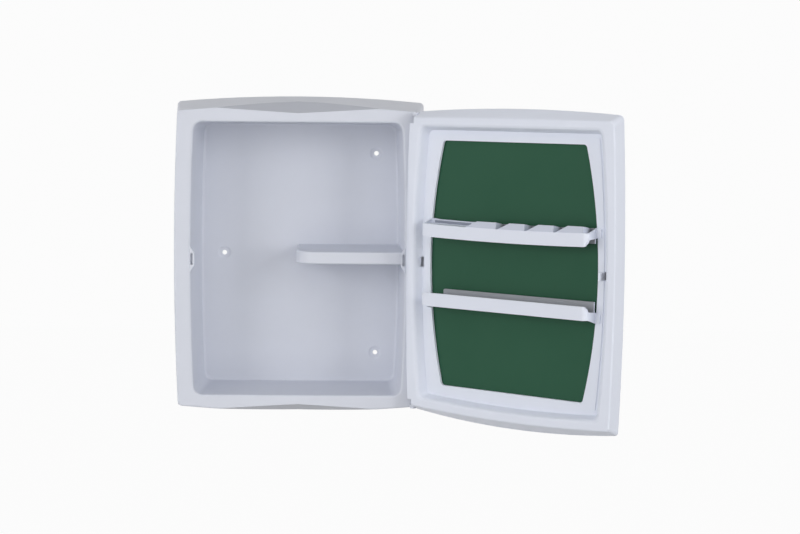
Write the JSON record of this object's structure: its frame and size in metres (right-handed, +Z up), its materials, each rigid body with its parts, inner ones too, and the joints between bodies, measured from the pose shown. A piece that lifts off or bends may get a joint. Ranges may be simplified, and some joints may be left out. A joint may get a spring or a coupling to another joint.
{
  "type": "medicine cabinet",
  "caption": "Wall cabinet moulded in white plastic, with a corner shelf, finger scoops and a mirror door on pin hinges that carries two racks.",
  "frame": {"origin": "centre of the cabinet's flat back, on the wall plane", "axes": "+Z up, +Y into the wall, +X to the right as seen by someone facing the cabinet"},
  "size_m": [0.5311, 0.3019, 0.3944],
  "materials": {
    "cabinet_body": "soft gloss",
    "door_back_shell": "soft gloss",
    "door_front_bezel": "soft gloss",
    "mirror_glass": "silvered front, green painted back",
    "mirror_foam_tape": "foam",
    "upper_door_rack": "soft gloss",
    "lower_door_rack": "soft gloss",
    "hinge_pins": "blackened wire"
  },
  "bodies": {
    "cabinet": {"cabinet_body": "cabinet_body", "upper_hinge_pin": "hinge_pins", "lower_hinge_pin": "hinge_pins"},
    "door": {"door_back_shell": "door_back_shell", "door_front_bezel": "door_front_bezel", "mirror_glass": "mirror_glass", "mirror_foam_tape": "mirror_foam_tape", "upper_door_rack": "upper_door_rack", "lower_door_rack": "lower_door_rack"}
  },
  "joints": [
    {"name": "door_hinge", "type": "hinge", "parent": "cabinet", "child": "door", "pos_m": [0.1419, -0.1107, 0], "axis": [0, 0, 1], "range_deg": [-140.66, 0]}
  ]
}
